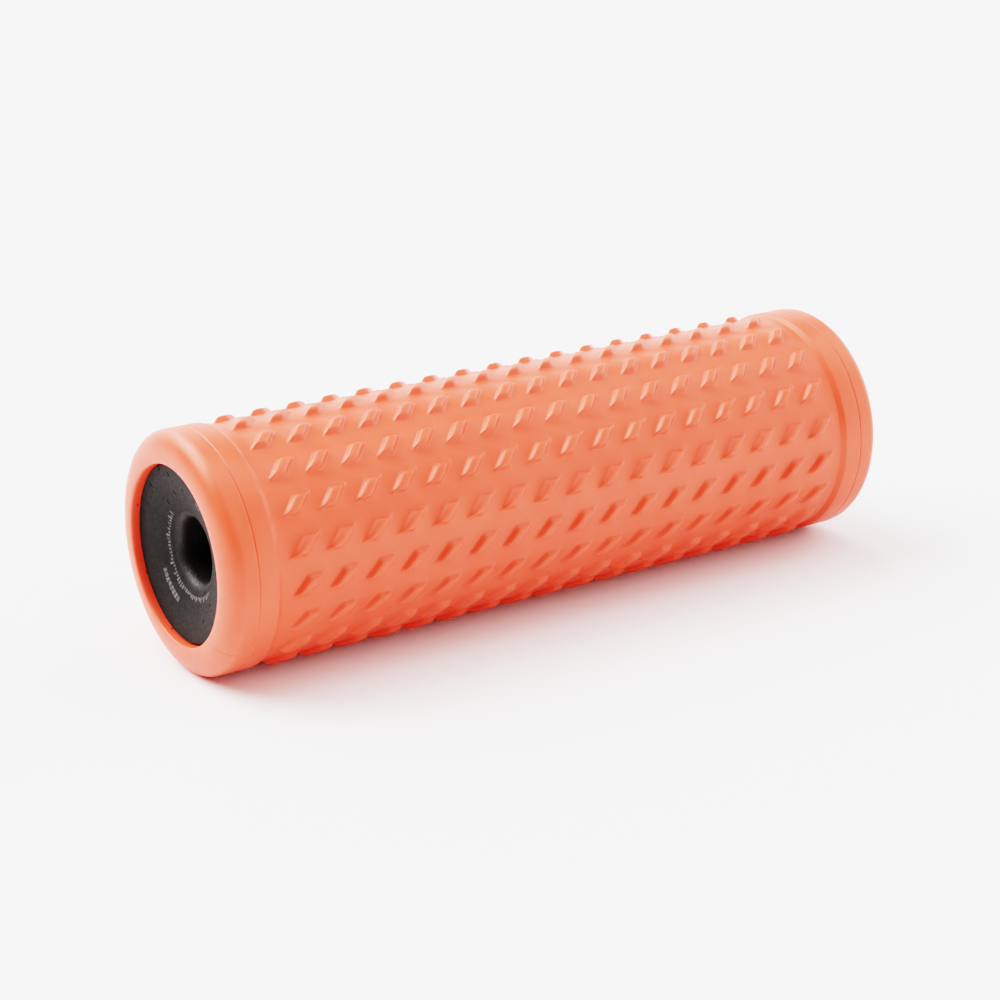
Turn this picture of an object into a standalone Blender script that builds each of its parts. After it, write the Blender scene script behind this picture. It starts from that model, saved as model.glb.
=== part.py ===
"""Foam roller: a soft sleeve with slanted massage bumps, over a bead-foam core with a through bore.

The roller lies on its side on the plane z = 0. Its axis runs along X and its middle is at x = 0.
The angle round the axis is 0 at the top and grows towards -Y. All lengths are in metres.
"""

import math

import bmesh
import bpy

MM = 0.001

# Sleeve
LENGTH = 450.0 * MM
TIP_RADIUS = 70.0 * MM
COLLAR_RADIUS = 69.0 * MM
FLOOR_RADIUS = 66.7 * MM
WALL_RADIUS = 51.0 * MM

# Bumps: parallelograms whose long sides lean, on a square lattice of rings and rows
BUMPS_ALONG = 17
BUMPS_ROUND = 19
BUMP_PITCH = 22.3 * MM
BUMP_WIDTH = 10.9 * MM
BUMP_DEPTH = 12.0 * MM
BUMP_LEAN = math.radians(42.4)
BUMP_SLOPE_RUN = 1.8 * MM
BUMP_RISE = TIP_RADIUS - FLOOR_RADIUS
ROW_ANGLE = 2.0 * math.pi / BUMPS_ROUND

# Each end of the sleeve, as distances in from the end plane
STEP_FOOT = 30.8 * MM
STEP_TOP = 27.8 * MM
GROOVE_PLACE = 16.5 * MM
GROOVE_WIDTH = 0.8 * MM
GROOVE_DEPTH = 0.4 * MM
DOME_DEPTH = 9.0 * MM
DOME_STEPS = 6
FACE_RADIUS = 54.5 * MM
LIP_CHAMFER = 0.8 * MM

# Core
FIT_GAP = 0.3 * MM
CORE_RECESS = 4.5 * MM
CORE_EDGE = 0.8 * MM
CORE_STEPS = 48
BORE_RADIUS = 18.5 * MM
MOUTH_RADIUS = 24.0 * MM
MOUTH_RECESS = 11.5 * MM
MOUTH_DEPTH = 7.0 * MM
MOUTH_STEPS = 4

# The roller rests on the near edges of the two lowest rows of bumps.
TIP_HALF_ANGLE = (BUMP_DEPTH / 2.0 - BUMP_SLOPE_RUN) / FLOOR_RADIUS
AXIS_HEIGHT = TIP_RADIUS * math.cos(ROW_ANGLE / 2.0 - TIP_HALF_ANGLE)

CORAL = (0.85, 0.20, 0.10, 1.0)
BLACK = (0.03, 0.03, 0.03, 1.0)


def clear_scene():
    """Remove every object that the scene starts with."""
    for thing in list(bpy.data.objects):
        bpy.data.objects.remove(thing, do_unlink=True)


def make_material(name, colour, roughness):
    """Make a Principled material with a plain colour."""
    material = bpy.data.materials.new(name)
    material.use_nodes = True
    shader = material.node_tree.nodes["Principled BSDF"]
    shader.inputs["Base Color"].default_value = colour
    shader.inputs["Roughness"].default_value = roughness
    shader.inputs["Metallic"].default_value = 0.0
    return material


def lattice_point(column, row):
    """Place a grid vertex on the unrolled sleeve: x along the axis, y round it at the floor radius.

    Each bump has two columns and two rows of its own. The first and last columns are the steps' feet.
    """
    side = 1.0 if row % 2 else -1.0
    across = side * BUMP_DEPTH / 2.0
    y = (row // 2) * ROW_ANGLE * FLOOR_RADIUS + across
    if column == 0:
        return STEP_FOOT - LENGTH / 2.0, y
    if column == 2 * BUMPS_ALONG + 1:
        return LENGTH / 2.0 - STEP_FOOT, y
    bump = (column - 1) // 2
    edge = 0.5 if (column - 1) % 2 else -0.5
    middle = (bump - (BUMPS_ALONG - 1) / 2.0) * BUMP_PITCH
    return middle + edge * BUMP_WIDTH - across * math.tan(BUMP_LEAN), y


def unrolled_field(mesh):
    """Lay out the bumpy field of the sleeve as a flat sheet with its bumps raised along +Z."""
    columns = 2 * BUMPS_ALONG + 1
    rows = 2 * BUMPS_ROUND
    bmesh.ops.create_grid(mesh, x_segments=columns, y_segments=rows, size=1.0)
    places = {}
    for vertex in mesh.verts:
        column = round((vertex.co.x + 1.0) / 2.0 * columns)
        row = round((vertex.co.y + 1.0) / 2.0 * rows)
        places[vertex] = (column, row)
        vertex.co.x, vertex.co.y = lattice_point(column, row)
    bumps = []
    for face in mesh.faces:
        column = min(places[vertex][0] for vertex in face.verts)
        row = min(places[vertex][1] for vertex in face.verts)
        if column % 2 == 1 and row % 2 == 0:
            bumps.append(face)
    mesh.normal_update()
    bmesh.ops.inset_individual(
        mesh, faces=bumps, thickness=BUMP_SLOPE_RUN, depth=BUMP_RISE, use_even_offset=True
    )


def roll_up(mesh):
    """Wrap the flat sheet round the X axis and weld the seam."""
    for vertex in mesh.verts:
        angle = vertex.co.y / FLOOR_RADIUS
        radius = FLOOR_RADIUS + vertex.co.z
        vertex.co.y = -radius * math.sin(angle)
        vertex.co.z = radius * math.cos(angle)
    bmesh.ops.remove_doubles(mesh, verts=mesh.verts, dist=0.01 * MM)


def end_profile():
    """List (distance in from the end, radius) from the top of the step to the inner wall."""
    points = [
        (STEP_TOP, COLLAR_RADIUS),
        (GROOVE_PLACE + GROOVE_WIDTH / 2.0, COLLAR_RADIUS),
        (GROOVE_PLACE, COLLAR_RADIUS - GROOVE_DEPTH),
        (GROOVE_PLACE - GROOVE_WIDTH / 2.0, COLLAR_RADIUS),
    ]
    for step in range(DOME_STEPS + 1):
        turn = math.pi / 2.0 * step / DOME_STEPS
        inset = DOME_DEPTH * (1.0 - math.sin(turn))
        radius = FACE_RADIUS + (COLLAR_RADIUS - FACE_RADIUS) * math.cos(turn)
        points.append((inset, radius))
    points.append((0.0, WALL_RADIUS + LIP_CHAMFER))
    points.append((LIP_CHAMFER, WALL_RADIUS))
    return points


def grow_end(mesh, side):
    """Extrude the open rim at one end of the sleeve along the end profile."""
    rim = [edge for edge in mesh.edges if edge.is_boundary and edge.verts[0].co.x * side > 0.0]
    for inset, radius in end_profile():
        grown = bmesh.ops.extrude_edge_only(mesh, edges=rim)["geom"]
        rim = [item for item in grown if isinstance(item, bmesh.types.BMEdge)]
        ring = {vertex for edge in rim for vertex in edge.verts}
        for vertex in ring:
            scale = radius / math.hypot(vertex.co.y, vertex.co.z)
            vertex.co.x = side * (LENGTH / 2.0 - inset)
            vertex.co.y *= scale
            vertex.co.z *= scale
    return rim


def make_sleeve():
    """Model the moulded sleeve: bumpy field, two collared ends and a plain inner wall."""
    mesh = bmesh.new()
    unrolled_field(mesh)
    roll_up(mesh)
    rims = grow_end(mesh, -1.0) + grow_end(mesh, 1.0)
    bmesh.ops.bridge_loops(mesh, edges=rims)
    bmesh.ops.recalc_face_normals(mesh, faces=mesh.faces)
    data = bpy.data.meshes.new("sleeve")
    mesh.to_mesh(data)
    mesh.free()
    return bpy.data.objects.new("sleeve", data)


def core_profile():
    """List (radius, distance from the middle) for one half of the core's section, rim first."""
    outer = WALL_RADIUS * math.cos(BUMP_DEPTH / 2.0 / FLOOR_RADIUS) - FIT_GAP
    top = LENGTH / 2.0 - CORE_RECESS
    mouth = LENGTH / 2.0 - MOUTH_RECESS
    points = [(outer, top - CORE_EDGE), (outer - CORE_EDGE, top)]
    for step in range(MOUTH_STEPS + 1):
        turn = math.pi / 2.0 * step / MOUTH_STEPS
        radius = MOUTH_RADIUS - (MOUTH_RADIUS - BORE_RADIUS) * math.sin(turn)
        points.append((radius, mouth - MOUTH_DEPTH * (1.0 - math.cos(turn))))
    return points


def make_core():
    """Turn the core: a tube with dished ends whose bore has rounded mouths."""
    upper = core_profile()
    lower = [(radius, -height) for radius, height in upper]
    section = upper[::-1] + lower
    mesh = bmesh.new()
    ring = [mesh.verts.new((radius, 0.0, height)) for radius, height in section]
    for first, second in zip(ring, ring[1:] + ring[:1]):
        mesh.edges.new((first, second))
    data = bpy.data.meshes.new("core")
    mesh.to_mesh(data)
    mesh.free()
    core = bpy.data.objects.new("core", data)
    core.rotation_euler = (0.0, math.radians(90.0), 0.0)
    turned = core.modifiers.new("Turned section", "SCREW")
    turned.axis = "Z"
    turned.steps = CORE_STEPS
    turned.render_steps = CORE_STEPS
    turned.use_smooth_shade = False
    return core


def main():
    """Build the roller in its own collection, both pieces on one axis."""
    clear_scene()
    collection = bpy.data.collections.new("foam_roller")
    bpy.context.scene.collection.children.link(collection)
    axis = bpy.data.objects.new("roller_axis", None)
    axis.location.z = AXIS_HEIGHT
    collection.objects.link(axis)
    sleeve = make_sleeve()
    sleeve.data.materials.append(make_material("sleeve_foam", CORAL, 0.5))
    core = make_core()
    core.data.materials.append(make_material("core_foam", BLACK, 0.75))
    for piece in (sleeve, core):
        collection.objects.link(piece)
        piece.parent = axis


main()
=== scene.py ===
import math

import bmesh
import bpy
import numpy as np
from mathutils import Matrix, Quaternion, Vector


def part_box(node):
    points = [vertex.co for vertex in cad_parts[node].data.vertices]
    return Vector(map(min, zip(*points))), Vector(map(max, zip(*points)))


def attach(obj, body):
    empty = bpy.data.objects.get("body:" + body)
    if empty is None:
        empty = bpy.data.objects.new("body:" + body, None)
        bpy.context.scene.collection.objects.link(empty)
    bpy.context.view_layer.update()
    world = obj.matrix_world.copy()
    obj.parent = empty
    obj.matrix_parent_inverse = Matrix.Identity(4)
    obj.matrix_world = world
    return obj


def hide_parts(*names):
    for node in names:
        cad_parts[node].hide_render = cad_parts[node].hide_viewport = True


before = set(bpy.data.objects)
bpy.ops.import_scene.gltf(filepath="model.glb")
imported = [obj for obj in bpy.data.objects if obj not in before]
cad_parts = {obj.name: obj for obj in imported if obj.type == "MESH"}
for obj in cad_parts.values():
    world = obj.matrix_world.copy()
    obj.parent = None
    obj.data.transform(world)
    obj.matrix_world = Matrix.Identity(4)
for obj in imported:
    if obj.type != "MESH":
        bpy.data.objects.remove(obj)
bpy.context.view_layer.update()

# Foam roller: a coral sleeve with slanted massage bumps over a black bead-foam core with a bore.
# It lies along X on the floor z = 0. Angles round its axis are 0 at the top and grow towards -Y.

MM = 0.001
SLEEVE_LOW, SLEEVE_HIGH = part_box("sleeve")
CORE_LOW, CORE_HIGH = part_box("core")

# Driving dimensions, in metres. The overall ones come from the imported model.
LENGTH = SLEEVE_HIGH.x - SLEEVE_LOW.x
COLLAR_RADIUS = 69.0 * MM
FLOOR_RADIUS = 66.7 * MM
WALL_RADIUS = 51.0 * MM
CORE_HALF = CORE_HIGH.x
CORE_RADIUS = (CORE_HIGH.z - CORE_LOW.z) / 2.0
AXIS_HEIGHT = (CORE_HIGH.z + CORE_LOW.z) / 2.0

BUMPS_ALONG = 17
BUMPS_ROUND = 19
BUMP_PITCH = 22.3 * MM
BUMP_WIDTH = 10.9 * MM
BUMP_DEPTH = 12.0 * MM
BUMP_LEAN = math.radians(42.4)
ROW_ANGLE = 2.0 * math.pi / BUMPS_ROUND

WELD_DISTANCE = 0.01 * MM
FILLET_STEPS = 2


def build_object(name, data, body="root"):
    """Link a new object and let it ride on a body of the frame."""
    piece = bpy.data.objects.new(name, data)
    bpy.context.scene.collection.objects.link(piece)
    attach(piece, body)
    return piece


def shade_smooth(mesh, sharp_angle):
    """Shade a mesh smooth, apart from edges that turn by more than the angle."""
    mesh.shade_smooth()
    mesh.set_sharp_from_angle(angle=sharp_angle)


# --- Material helpers ---------------------------------------------------------------------------


def new_material(name):
    """Make a node material and hand back the material, its node tree and its shader."""
    material = bpy.data.materials.new(name)
    material.use_nodes = True
    return material, material.node_tree, material.node_tree.nodes["Principled BSDF"]


def feed(tree, socket, value):
    """Link a socket from another node, or set a plain value on it."""
    if isinstance(value, bpy.types.NodeSocket):
        tree.links.new(value, socket)
    else:
        socket.default_value = value


def add_node(tree, kind, inputs=(), **settings):
    """Add a node of a kind, with its settings, and feed its inputs by name or by number."""
    node = tree.nodes.new(kind)
    for key, value in settings.items():
        setattr(node, key, value)
    for key, value in dict(inputs).items():
        feed(tree, node.inputs[key], value)
    return node


def maths(tree, operation, first, second=0.0, third=0.0):
    """Add a Math node and hand back its output."""
    inputs = {0: first, 1: second, 2: third}
    return add_node(tree, "ShaderNodeMath", inputs, operation=operation).outputs[0]


def noise(tree, place, scale, detail=2.0, roughness=0.5):
    """Add a noise texture of so many grains per metre and hand back its grey output."""
    inputs = {"Vector": place, "Scale": scale, "Detail": detail, "Roughness": roughness}
    return add_node(tree, "ShaderNodeTexNoise", inputs).outputs["Fac"]


def remap(tree, value, low, high, to_low, to_high):
    """Stretch a value from one range to another, clamped, and hand back the result."""
    inputs = {"Value": value, "From Min": low, "From Max": high, "To Min": to_low, "To Max": to_high}
    return add_node(tree, "ShaderNodeMapRange", inputs).outputs["Result"]


def blend(tree, share, first, second):
    """Mix two colours by a share and hand back the result."""
    node = add_node(tree, "ShaderNodeMix", data_type="RGBA")
    feed(tree, node.inputs["Factor"], share)
    feed(tree, node.inputs["A"], first)
    feed(tree, node.inputs["B"], second)
    return node.outputs["Result"]


def bump(tree, height, depth, strength, under=None):
    """Turn a grey height into a bumped normal, on top of another one if it is given."""
    inputs = {"Height": height, "Distance": depth, "Strength": strength}
    if under is not None:
        inputs["Normal"] = under
    return add_node(tree, "ShaderNodeBump", inputs).outputs["Normal"]


def object_place(tree):
    """Hand back the piece's own coordinates, which don't move with the camera."""
    return add_node(tree, "ShaderNodeTexCoord").outputs["Object"]


def all_of(tree, *shares):
    """Multiply several shares together."""
    total = shares[0]
    for share in shares[1:]:
        total = maths(tree, "MULTIPLY", total, share)
    return total


def turn_from(tree, place, middle):
    """Hand back the radius from the axis, and the angle round it as measured from a middle angle."""
    parts = add_node(tree, "ShaderNodeSeparateXYZ", {"Vector": place}).outputs
    across = maths(tree, "MULTIPLY", parts["Y"], -1.0)
    up = maths(tree, "SUBTRACT", parts["Z"], AXIS_HEIGHT)
    sine, cosine = math.sin(middle), math.cos(middle)
    turned_across = maths(tree, "MULTIPLY_ADD", across, cosine, maths(tree, "MULTIPLY", up, -sine))
    turned_up = maths(tree, "MULTIPLY_ADD", up, cosine, maths(tree, "MULTIPLY", across, sine))
    square = maths(tree, "MULTIPLY_ADD", up, up, maths(tree, "MULTIPLY", across, across))
    return maths(tree, "SQRT", square), maths(tree, "ARCTAN2", turned_across, turned_up)


def distance_along(tree, offset, direction):
    """Hand back how far an offset reaches in a direction."""
    inputs = {0: offset, 1: direction}
    return add_node(tree, "ShaderNodeVectorMath", inputs, operation="DOT_PRODUCT").outputs["Value"]


def end_point(radius, angle, inset):
    """Place a point on the near end, by radius, angle from the top and distance in (mm, degrees)."""
    turn = math.radians(angle)
    y = -radius * MM * math.sin(turn)
    return Vector((inset * MM - LENGTH / 2.0, y, AXIS_HEIGHT + radius * MM * math.cos(turn)))


def spots(tree, place, centres, size, soft):
    """Hand back a share that is 1 within a distance of any of the centres and fades outside it."""
    total = 0.0
    for centre in centres:
        inputs = {0: place, 1: centre}
        gap = add_node(tree, "ShaderNodeVectorMath", inputs, operation="DISTANCE").outputs["Value"]
        total = maths(tree, "MAXIMUM", remap(tree, gap, size, size + soft, 1.0, 0.0), total)
    return total


# --- Sleeve -----------------------------------------------------------------------------------

SLEEVE_SHARP = math.radians(60.0)
CELL_HALF = 8  # grid steps from a bump's middle to its cell's border
TOP_SHARE = 0.5  # how far out on the bump's top its innermost ring lies
BUMP_RINGS = (
    # (mm out from the bump's outline, mm over the floor, share of each side that its corners
    # round off), from the middle to the cell's border. The first and last places are fixed.
    (None, 3.30, 0.0),
    (-2.45, 3.29, 0.45),
    (-2.45, 3.18, 0.42),
    (-1.75, 2.86, 0.36),
    (-1.25, 2.32, 0.32),
    (-0.45, 0.72, 0.24),
    (0.00, 0.20, 0.22),
    (0.65, 0.02, 0.22),
    (None, 0.0, 0.0),
)


def rounded_square(p, q, rounding):
    """Move a point of the unit square's border onto the same square with round corners."""
    if rounding == 0.0:
        return p, q
    inner = 1.0 - rounding
    middle_p = max(-inner, min(inner, p))
    middle_q = max(-inner, min(inner, q))
    reach = math.hypot(p - middle_p, q - middle_q)
    return middle_p + (p - middle_p) / reach * rounding, middle_q + (q - middle_q) / reach * rounding


def cell_point(i, j):
    """Place a grid point of one bump's cell on the unrolled sleeve: x, y and height, in metres."""
    ring = max(abs(i), abs(j))
    out, height, rounding = BUMP_RINGS[ring]
    if ring == 0:
        return 0.0, 0.0, height * MM
    if ring == CELL_HALF:
        x = i / CELL_HALF * BUMP_PITCH / 2.0
        return x, j / CELL_HALF * ROW_ANGLE * FLOOR_RADIUS / 2.0, height * MM
    p, q = rounded_square(i / ring, j / ring, rounding)
    share = TOP_SHARE if ring == 1 else 1.0
    half_width = BUMP_WIDTH / 2.0 + out * MM / math.cos(BUMP_LEAN)
    y = q * share * (BUMP_DEPTH / 2.0 + out * MM)
    return p * share * half_width - y * math.tan(BUMP_LEAN), y, height * MM


def bump_cell():
    """Work out one bump's cell as an array of grid points, border included."""
    steps = range(-CELL_HALF, CELL_HALF + 1)
    return np.array([[cell_point(i, j) for j in steps] for i in steps])


def fillet(points):
    """Round the corners of a polyline. Each point is (x, y, radius)."""
    rounded = []
    last = len(points) - 1
    for index, (x, y, radius) in enumerate(points):
        here = Vector((x, y))
        if index in (0, last) or radius == 0.0:
            rounded.append((x, y))
            continue
        back = (Vector(points[index - 1][:2]) - here).normalized()
        ahead = (Vector(points[index + 1][:2]) - here).normalized()
        half = back.angle(ahead) / 2.0
        cut = radius / math.tan(half)
        centre = here + (back + ahead).normalized() * (radius / math.sin(half))
        start = here + back * cut - centre
        finish = here + ahead * cut - centre
        for step in range(FILLET_STEPS + 1):
            spoke = start.lerp(finish, step / FILLET_STEPS).normalized() * radius
            rounded.append(tuple(centre + spoke))
    return rounded


# Each end of the sleeve, as distances in from the end plane
STEP_FOOT = 30.8 * MM
STEP_TOP = 27.8 * MM
STEP_ROUND = 1.4 * MM
GROOVE_PLACE = 16.5 * MM
GROOVE_WIDTH = 0.8 * MM
GROOVE_DEPTH = 0.4 * MM
GROOVE_HOLD = 0.5 * MM  # from the groove's edge to the ring that keeps the collar's shading true
DOME_DEPTH = 9.0 * MM
DOME_STEPS = 10
FACE_RADIUS = 54.5 * MM
LIP_ROUND = 0.9 * MM
WALL_STEPS = (3.0 * MM, 10.0 * MM)  # rings on the inner wall, before the core's face and behind it


def end_profile():
    """List (distance in from the end, radius) from the bumpy field round to the inner wall."""
    field_end = (LENGTH - BUMPS_ALONG * BUMP_PITCH) / 2.0
    step = [
        (field_end, FLOOR_RADIUS, 0.0),
        (STEP_FOOT, FLOOR_RADIUS, STEP_ROUND),
        (STEP_TOP, COLLAR_RADIUS, STEP_ROUND),
        (GROOVE_PLACE, COLLAR_RADIUS, 0.0),
    ]
    profile = fillet(step)[1:-1]
    profile += [
        (GROOVE_PLACE + GROOVE_WIDTH / 2.0 + GROOVE_HOLD, COLLAR_RADIUS),
        (GROOVE_PLACE + GROOVE_WIDTH / 2.0, COLLAR_RADIUS),
        (GROOVE_PLACE, COLLAR_RADIUS - GROOVE_DEPTH),
        (GROOVE_PLACE - GROOVE_WIDTH / 2.0, COLLAR_RADIUS),
        (GROOVE_PLACE - GROOVE_WIDTH / 2.0 - GROOVE_HOLD, COLLAR_RADIUS),
    ]
    for index in range(DOME_STEPS + 1):
        turn = math.pi / 2.0 * index / DOME_STEPS
        inset = DOME_DEPTH * (1.0 - math.sin(turn))
        profile.append((inset, FACE_RADIUS + (COLLAR_RADIUS - FACE_RADIUS) * math.cos(turn)))
    lip = [(0.0, FACE_RADIUS, 0.0), (0.0, WALL_RADIUS, LIP_ROUND), (WALL_STEPS[0], WALL_RADIUS, 0.0)]
    profile += fillet(lip)[1:]
    profile.append((WALL_STEPS[1], WALL_RADIUS))
    return profile


def sleeve_columns():
    """List the sleeve's rings of points from end to end, as arrays of x, arc and radius."""
    cell = bump_cell()
    steps = 2 * CELL_HALF
    rows = steps * BUMPS_ROUND
    arc = np.arange(rows) / rows * 2.0 * math.pi * FLOOR_RADIUS - ROW_ANGLE * FLOOR_RADIUS / 2.0
    columns = []
    for inset, radius in reversed(end_profile()):
        columns.append((np.full(rows, inset - LENGTH / 2.0), arc, np.full(rows, radius)))
    row_starts = np.repeat(np.arange(BUMPS_ROUND) * ROW_ANGLE * FLOOR_RADIUS, steps)
    for index in range(steps * BUMPS_ALONG + 1):
        bump_number = min(index // steps, BUMPS_ALONG - 1)
        inside = cell[index - bump_number * steps]
        middle = (bump_number - (BUMPS_ALONG - 1) / 2.0) * BUMP_PITCH
        x = middle + np.tile(inside[:steps, 0], BUMPS_ROUND)
        y = row_starts + np.tile(inside[:steps, 1], BUMPS_ROUND)
        columns.append((x, y, FLOOR_RADIUS + np.tile(inside[:steps, 2], BUMPS_ROUND)))
    for inset, radius in end_profile():
        columns.append((np.full(rows, LENGTH / 2.0 - inset), arc, np.full(rows, radius)))
    return columns


def sleeve_mesh():
    """Wrap the bumpy field and both ends round the axis as one closed skin."""
    x, arc, radius = (np.array(part) for part in zip(*sleeve_columns()))
    angle = arc / FLOOR_RADIUS
    points = np.stack([x, -radius * np.sin(angle), AXIS_HEIGHT + radius * np.cos(angle)], axis=-1)
    here = np.arange(x.size).reshape(x.shape)
    beyond = np.roll(here, -1, axis=0)
    faces = np.stack([here, np.roll(here, -1, 1), np.roll(beyond, -1, 1), beyond], axis=-1)
    mesh = bpy.data.meshes.new("sleeve_skin")
    mesh.from_pydata(points.reshape(-1, 3).tolist(), [], faces.reshape(-1, 4).tolist())
    mesh.update()
    return mesh


CORAL = (0.85, 0.085, 0.043, 1.0)
CORAL_DEEP = (0.83, 0.078, 0.039, 1.0)
CORAL_PALE = (0.86, 0.092, 0.048, 1.0)
# The nicks' own dark red, which also tints the fold as painted shade in the crease.
CORAL_NICK_AND_CREASE_SHADE = (0.50, 0.020, 0.014, 1.0)
SHEEN_TINT = (1.0, 0.86, 0.74, 1.0)
SKIN_ROUGHNESS = (0.33, 0.42)
WAVE_ROUGHNESS = (0.0, 0.05)

# Noise textures, as (grains per metre, detail, roughness), and the greys each is stretched from
CLOUDS, CLOUD_GREYS = (38.0, 3.0, 0.55), (0.35, 0.65)
SPECKS, SPECK_GREYS = (420.0, 2.0, 0.6), (0.38, 0.62)
GRAIN, GRAIN_GREYS = (1500.0, 2.0, 0.6), (0.35, 0.65)
WAVES, WAVE_GREYS = (110.0, 2.0, 0.5), (0.3, 0.7)
SPECK_SHARE = 0.45

# Reliefs, as (depth, strength)
MARK_RELIEF = (0.5 * MM, 0.6)
WAVE_RELIEF = (0.35 * MM, 0.25)
GRAIN_RELIEF = (0.06 * MM, 0.5)

# Places on the near end are (radius, angle, distance in), in millimetres and degrees.
LIP_NICKS = ((51.0, 287.0, 3.9), (51.0, 241.6, 5.1), (51.0, 197.3, 4.7))
NICK_SIZE = 0.5 * MM
NICK_SOFT = 0.7 * MM
CREASE_ENDS = ((54.0, 134.0, 0.1), (69.0, 126.0, 9.0))
# The fold fades between these distances: to its sides, forward from its start, and inward from it.
CREASE_WIDTH = (0.2 * MM, 1.3 * MM)
CREASE_START = (-2.5 * MM, 3.0 * MM)
CREASE_STOP = (5.0 * MM, 10.0 * MM)
# Share of that dark red laid along the fold: painted shade in the crease.
CREASE_SHADE = 0.22
CREASE_RELIEF = 0.5


def crease(tree, place):
    """Hand back the share of a faint fold that crosses the rounded end of the sleeve, used for its
    relief and for painted shade along it.
    """
    start, finish = (end_point(*spot) for spot in CREASE_ENDS)
    along = Vector((0.0, finish.y - start.y, finish.z - start.z))
    across = Vector((0.0, -along.z, along.y)).normalized()
    inputs = {0: place, 1: start}
    offset = add_node(tree, "ShaderNodeVectorMath", inputs, operation="SUBTRACT").outputs["Vector"]
    sideways = maths(tree, "ABSOLUTE", distance_along(tree, offset, across))
    forward = distance_along(tree, offset, along.normalized())
    deeper = add_node(tree, "ShaderNodeSeparateXYZ", {"Vector": offset}).outputs["X"]
    thin = remap(tree, sideways, *CREASE_WIDTH, 1.0, 0.0)
    begun = remap(tree, forward, *CREASE_START, 0.0, 1.0)
    ongoing = remap(tree, deeper, *CREASE_STOP, 1.0, 0.0)
    return all_of(tree, thin, begun, ongoing)


def coral_foam():
    """Moulded soft foam skin in coral: faintly mottled, with a fine leathery grain."""
    material, tree, shader = new_material("coral_foam_skin")
    place = object_place(tree)
    clouds = remap(tree, noise(tree, place, *CLOUDS), *CLOUD_GREYS, 0.0, 1.0)
    specks = remap(tree, noise(tree, place, *SPECKS), *SPECK_GREYS, 0.0, 1.0)
    cloudy = blend(tree, clouds, CORAL_DEEP, CORAL_PALE)
    skin = blend(tree, maths(tree, "MULTIPLY", specks, SPECK_SHARE), cloudy, CORAL)
    fold = crease(tree, place)
    nicks = spots(tree, place, [end_point(*spot) for spot in LIP_NICKS], NICK_SIZE, NICK_SOFT)
    # The nicks are real dark marks. The fold's darkening is painted shade in the crease.
    nicks_and_crease_shade = maths(tree, "MAXIMUM", nicks, maths(tree, "MULTIPLY", fold, CREASE_SHADE))
    feed(tree, shader.inputs["Base Color"], blend(tree, nicks_and_crease_shade, skin, CORAL_NICK_AND_CREASE_SHADE))
    grain = noise(tree, place, *GRAIN)
    waves = noise(tree, place, *WAVES)
    fine = remap(tree, grain, *GRAIN_GREYS, *SKIN_ROUGHNESS)
    broad = remap(tree, waves, *WAVE_GREYS, *WAVE_ROUGHNESS)
    feed(tree, shader.inputs["Roughness"], maths(tree, "ADD", fine, broad))
    dents = maths(tree, "MAXIMUM", maths(tree, "MULTIPLY", fold, CREASE_RELIEF), nicks)
    dented = bump(tree, maths(tree, "SUBTRACT", 1.0, dents), *MARK_RELIEF)
    wavy = bump(tree, waves, *WAVE_RELIEF, dented)
    feed(tree, shader.inputs["Normal"], bump(tree, grain, *GRAIN_RELIEF, wavy))
    shader.inputs["Specular Tint"].default_value = SHEEN_TINT
    return material


def make_sleeve():
    """Build the sleeve's skin, which stands for the CAD's sleeve."""
    mesh = sleeve_mesh()
    shade_smooth(mesh, SLEEVE_SHARP)
    piece = build_object("sleeve_skin", mesh)
    mesh.materials.append(coral_foam())
    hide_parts("sleeve")
    return piece


# --- Core -------------------------------------------------------------------------------------

CORE_SHARP = math.radians(40.0)
CORE_STEPS = 160
CORE_EDGE = 0.8 * MM
MOUTH_CURVE = (
    # (radius, distance in from the end plane), in mm, from the rim of the dish to the bore
    (46.0, 5.0),
    (42.0, 5.8),
    (38.0, 6.9),
    (34.5, 8.0),
    (31.0, 9.2),
    (27.5, 10.5),
    (24.5, 11.6),
    (22.6, 12.3),
    (21.3, 12.9),
    (20.2, 13.8),
    (19.3, 15.0),
    (18.7, 16.6),
    (18.5, 18.6),
    (18.5, 40.0),
)


def core_section():
    """List (radius, distance from the middle) round the core's section, as a closed loop."""
    half = [(CORE_RADIUS, CORE_HALF - CORE_EDGE), (CORE_RADIUS - CORE_EDGE, CORE_HALF)]
    half += [(radius * MM, LENGTH / 2.0 - depth * MM) for radius, depth in MOUTH_CURVE]
    return half + [(radius, -x) for radius, x in reversed(half)]


# Near black painted into the vent pits as shade.
BLACK_PIT_SHADE = (0.002, 0.002, 0.002, 1.0)
BLACK_DEEP = (0.0045, 0.0038, 0.0036, 1.0)
BLACK_PALE = (0.0155, 0.0130, 0.0124, 1.0)
MARK_GREY = (0.12, 0.118, 0.12, 1.0)
CORE_ROUGHNESS = (0.55, 0.80)

BEAD_SCALE = 300.0  # beads per metre
BEAD_SEAM = 0.12  # how far in from its edge a bead rounds off, in beads
BEAD_SHARE = 0.45
DUST_SHARE = 0.55
DUST, DUST_GREYS = (900.0, 3.0, 0.7), (0.35, 0.70)
BEAD_RELIEF = (0.12 * MM, 0.5)
DUST_RELIEF = (0.10 * MM, 0.5)
PIT_RELIEF = (0.8 * MM, 1.0)

# The bore's rounded mouth is smoother than the rest, and the change lies between these radii.
MOUTH_RADII = (19.5 * MM, 23.0 * MM)
MOUTH_SMOOTHING = -0.12
MOUTH_SHEEN = 0.55
CORE_SHEEN = 0.24

VENT_PITS = (
    # (radius, angle, distance in) of the moulding vents' pits on the near end, which are dented and
    # painted darker as shade
    (48.7, 334.4, 4.7), (44.5, 346.3, 5.3), (45.1, 314.0, 5.2), (36.5, 2.0, 7.4), (33.6, 343.0, 8.3),
    (31.2, 319.9, 9.1), (34.1, 130.7, 8.1), (38.9, 148.0, 6.6), (24.0, 149.0, 11.8),
)
PIT_SIZE = 0.85 * MM
PIT_SOFT = 0.65 * MM

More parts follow.
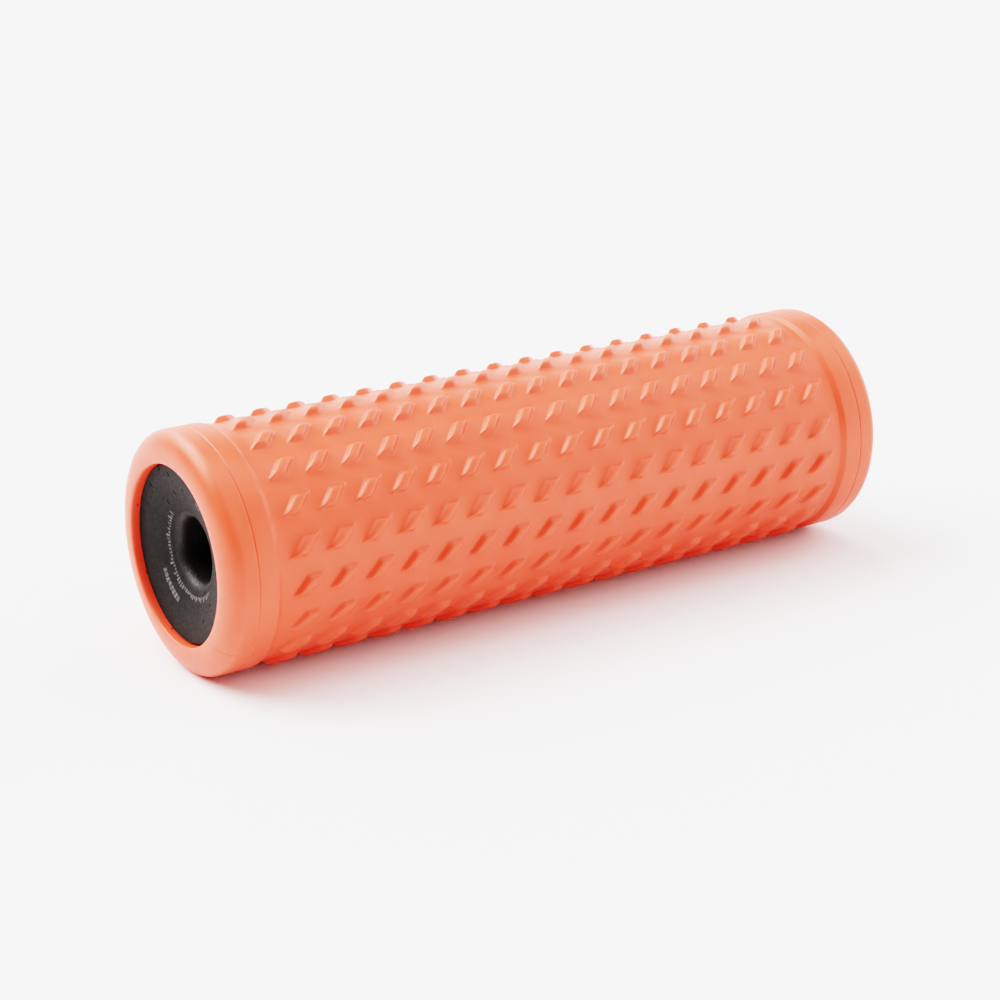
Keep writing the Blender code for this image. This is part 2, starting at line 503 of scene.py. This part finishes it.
PRINTED_BANDS = (
    # (middle angle, half width, inner radius, outer radius, strokes in a full turn, filled share,
    # raggedness), in degrees and millimetres
    (221.0, 89.0, 25.4, 28.2, 84, 0.52, 0.75),
    (220.0, 19.0, 32.4, 35.2, 76, 0.66, 0.25),
    (30.0, 5.0, 35.6, 38.2, 72, 0.60, 0.15),
)
STROKE_SOFT = 0.12  # of a stroke's pitch
BAND_SOFT = 0.2  # mm
BAND_END_SOFT = 0.01  # radians
PRINT_DEPTH = (15.0 * MM, 16.0 * MM)  # the print fades out between these distances in
WEAR, WEAR_GREYS, WEAR_SHARES = (600.0, 2.0, 0.5), (0.35, 0.6), (0.35, 1.0)


def printed_band(tree, place, middle, half_width, inner, outer, count, filled, ragged):
    """Hand back the share of one band of plain printed strokes on the near end of the core."""
    radius, angle = turn_from(tree, place, math.radians(middle))
    number = maths(tree, "MULTIPLY", angle, count / (2.0 * math.pi))
    offset = maths(tree, "ABSOLUTE", maths(tree, "SUBTRACT", maths(tree, "FRACT", number), 0.5))
    stroke = remap(tree, offset, filled / 2.0, filled / 2.0 + STROKE_SOFT, 1.0, 0.0)
    inputs = {"W": maths(tree, "FLOOR", number)}
    chance = add_node(tree, "ShaderNodeTexWhiteNoise", inputs, noise_dimensions="1D").outputs["Value"]
    reach = maths(tree, "MULTIPLY_ADD", chance, (inner - outer) * ragged * MM, outer * MM)
    below = remap(tree, maths(tree, "SUBTRACT", radius, reach), 0.0, BAND_SOFT * MM, 1.0, 0.0)
    above = remap(tree, radius, (inner - BAND_SOFT) * MM, inner * MM, 0.0, 1.0)
    width = math.radians(half_width)
    turned = maths(tree, "ABSOLUTE", angle)
    near_middle = remap(tree, turned, width, width + BAND_END_SOFT, 1.0, 0.0)
    x = add_node(tree, "ShaderNodeSeparateXYZ", {"Vector": place}).outputs["X"]
    near_end = remap(tree, x, *(depth - LENGTH / 2.0 for depth in PRINT_DEPTH), 1.0, 0.0)
    return all_of(tree, stroke, below, above, near_middle, near_end)


def printed_marks(tree, place):
    """Join the printed bands and wear them unevenly."""
    total = 0.0
    for band in PRINTED_BANDS:
        total = maths(tree, "MAXIMUM", printed_band(tree, place, *band), total)
    worn = remap(tree, noise(tree, place, *WEAR), *WEAR_GREYS, *WEAR_SHARES)
    return maths(tree, "MULTIPLY", total, worn)


def black_foam():
    """Black bead foam: beads of uneven tone, vent pits with painted shade in them, worn printed
    strokes and a dry surface.
    """
    material, tree, shader = new_material("black_bead_foam")
    place = object_place(tree)
    cells = {"Vector": place, "Scale": BEAD_SCALE}
    beads = add_node(tree, "ShaderNodeTexVoronoi", cells)
    tone = add_node(tree, "ShaderNodeSeparateColor", {"Color": beads.outputs["Color"]}).outputs["Red"]
    dust = remap(tree, noise(tree, place, *DUST), *DUST_GREYS, 0.0, 1.0)
    share = maths(tree, "MULTIPLY_ADD", tone, BEAD_SHARE, maths(tree, "MULTIPLY", dust, DUST_SHARE))
    pits = spots(tree, place, [end_point(*spot) for spot in VENT_PITS], PIT_SIZE, PIT_SOFT)
    # The vent pits are dented, and also painted darker as shade in the pits.
    pit_shaded = blend(tree, pits, blend(tree, share, BLACK_DEEP, BLACK_PALE), BLACK_PIT_SHADE)
    feed(tree, shader.inputs["Base Color"], blend(tree, printed_marks(tree, place), pit_shaded, MARK_GREY))
    radius, _ = turn_from(tree, place, 0.0)
    smoother = remap(tree, radius, *MOUTH_RADII, MOUTH_SMOOTHING, 0.0)
    dry = remap(tree, dust, 0.0, 1.0, *CORE_ROUGHNESS)
    feed(tree, shader.inputs["Roughness"], maths(tree, "ADD", dry, smoother))
    sheen = remap(tree, radius, *MOUTH_RADII, MOUTH_SHEEN, CORE_SHEEN)
    feed(tree, shader.inputs["Specular IOR Level"], sheen)
    seams = add_node(tree, "ShaderNodeTexVoronoi", cells, feature="DISTANCE_TO_EDGE")
    rounded = remap(tree, seams.outputs["Distance"], 0.0, BEAD_SEAM, 0.0, 1.0)
    dusty = bump(tree, dust, *DUST_RELIEF, bump(tree, rounded, *BEAD_RELIEF))
    uncut = maths(tree, "SUBTRACT", 1.0, pits)
    feed(tree, shader.inputs["Normal"], bump(tree, uncut, *PIT_RELIEF, dusty))
    return material


def make_core():
    """Turn the core from its section. It stands for the CAD's core."""
    section = core_section()
    mesh = bmesh.new()
    ring = [mesh.verts.new((x, 0.0, radius)) for radius, x in section]
    edges = [mesh.edges.new(pair) for pair in zip(ring, ring[1:] + ring[:1])]
    bmesh.ops.spin(
        mesh, geom=ring + edges, cent=(0, 0, 0), axis=(1, 0, 0), angle=2.0 * math.pi,
        steps=CORE_STEPS, use_merge=True,
    )
    bmesh.ops.remove_doubles(mesh, verts=mesh.verts, dist=WELD_DISTANCE)
    bmesh.ops.recalc_face_normals(mesh, faces=mesh.faces)
    bmesh.ops.translate(mesh, verts=mesh.verts, vec=(0.0, 0.0, AXIS_HEIGHT))
    data = bpy.data.meshes.new("core_foam")
    mesh.to_mesh(data)
    mesh.free()
    shade_smooth(data, CORE_SHARP)
    piece = build_object("core_foam", data)
    data.materials.append(black_foam())
    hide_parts("core")
    return piece


# --- Stage ------------------------------------------------------------------------------------

CAMERA_PLACE = Vector((-0.7712, -1.1424, 0.5399))
CAMERA_AIM = Vector((-0.0114, 0.0, 0.0590))
CAMERA_ROLL = math.radians(-0.48)
CAMERA_LENS = 88.8
CAMERA_SENSOR = 36.0
CAMERA_REACH = 50.0


def add_camera():
    """Stand the camera a little above the roller, past its left end."""
    data = bpy.data.cameras.new("camera")
    data.lens = CAMERA_LENS
    data.sensor_width = CAMERA_SENSOR
    data.clip_end = CAMERA_REACH
    camera = bpy.data.objects.new("camera", data)
    bpy.context.scene.collection.objects.link(camera)
    camera.location = CAMERA_PLACE
    look = (CAMERA_AIM - CAMERA_PLACE).to_track_quat("-Z", "Y")
    camera.rotation_mode = "QUATERNION"
    camera.rotation_quaternion = look @ Quaternion((0.0, 0.0, 1.0), CAMERA_ROLL)
    bpy.context.scene.camera = camera


FLOOR_HALF = 8.0
FLOOR_COLOUR = (0.90, 0.93, 0.97, 1.0)
FLOOR_ROUGHNESS = 0.9


def add_floor():
    """Lay a plain pale floor under the roller."""
    mesh = bmesh.new()
    bmesh.ops.create_grid(mesh, x_segments=1, y_segments=1, size=FLOOR_HALF)
    data = bpy.data.meshes.new("floor")
    mesh.to_mesh(data)
    mesh.free()
    floor = bpy.data.objects.new("floor", data)
    bpy.context.scene.collection.objects.link(floor)
    material, _, shader = new_material("pale_floor")
    shader.inputs["Base Color"].default_value = FLOOR_COLOUR
    shader.inputs["Roughness"].default_value = FLOOR_ROUGHNESS
    data.materials.append(material)


LIGHTS = (
    # (name, direction that the light comes from, width in degrees, strength)
    ("key from behind on the left", (-0.5, 0.5, 0.71), 45.0, 5.2),
    ("backdrop, high", (0.0, 0.71, 0.71), 45.0, 1.6),
    ("backdrop, low", (0.0, 0.98, 0.21), 45.0, 1.3),
    ("top", (0.0, 0.0, 1.0), 50.0, 1.8),
    ("front, high", (0.0, -0.71, 0.71), 45.0, 0.8),
    ("front on the right, low", (0.69, -0.69, 0.21), 45.0, 1.2),
    ("right, low", (0.98, 0.0, 0.21), 45.0, 1.4),
    ("right, high", (0.71, -0.1, 0.71), 45.0, 1.1),
    ("behind on the right, low", (0.69, 0.69, 0.21), 45.0, 1.0),
)
LIGHT_COLOUR = (1.0, 0.965, 0.92)


def add_lights():
    """Light the roller with wide, soft suns and nothing from the world."""
    world = bpy.data.worlds.new("studio")
    world.use_nodes = True
    world.node_tree.nodes["Background"].inputs["Strength"].default_value = 0.0
    bpy.context.scene.world = world
    for name, direction, width, strength in LIGHTS:
        data = bpy.data.lights.new(name, "SUN")
        data.energy = strength
        data.color = LIGHT_COLOUR
        data.angle = math.radians(width)
        light = bpy.data.objects.new(name, data)
        bpy.context.scene.collection.objects.link(light)
        light.rotation_euler = Vector(direction).to_track_quat("Z", "Y").to_euler()


make_sleeve()
make_core()
add_floor()
add_camera()
add_lights()
bpy.context.scene.view_settings.view_transform = "Filmic"
bpy.context.scene.view_settings.look = "Very High Contrast"
